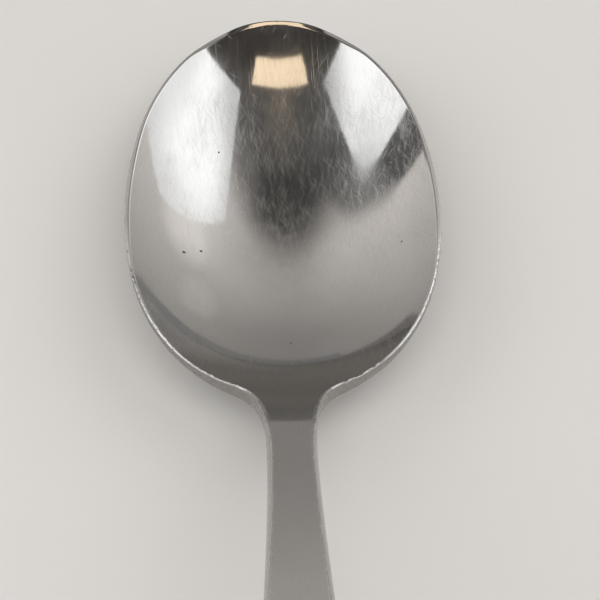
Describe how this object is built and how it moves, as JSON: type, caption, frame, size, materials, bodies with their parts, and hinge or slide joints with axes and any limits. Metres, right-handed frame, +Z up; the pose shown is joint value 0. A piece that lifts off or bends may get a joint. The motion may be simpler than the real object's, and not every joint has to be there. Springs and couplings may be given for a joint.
{
  "type": "youth spoon",
  "caption": "Polished steel spoon with an egg-shaped bowl, a narrow neck and an arched handle that flares to a plain round end.",
  "frame": {"origin": "centre of the bounding box, on the table plane that the belly and the end of the handle rest on", "axes": "+Y along the spoon towards the tip of the bowl, +Z up out of the open bowl, X across the bowl"},
  "size_m": [0.032, 0.146, 0.0203],
  "materials": {
    "steel": "polished, finely scratched by use"
  },
  "bodies": {
    "root": {"spoon": "steel"}
  },
  "joints": []
}
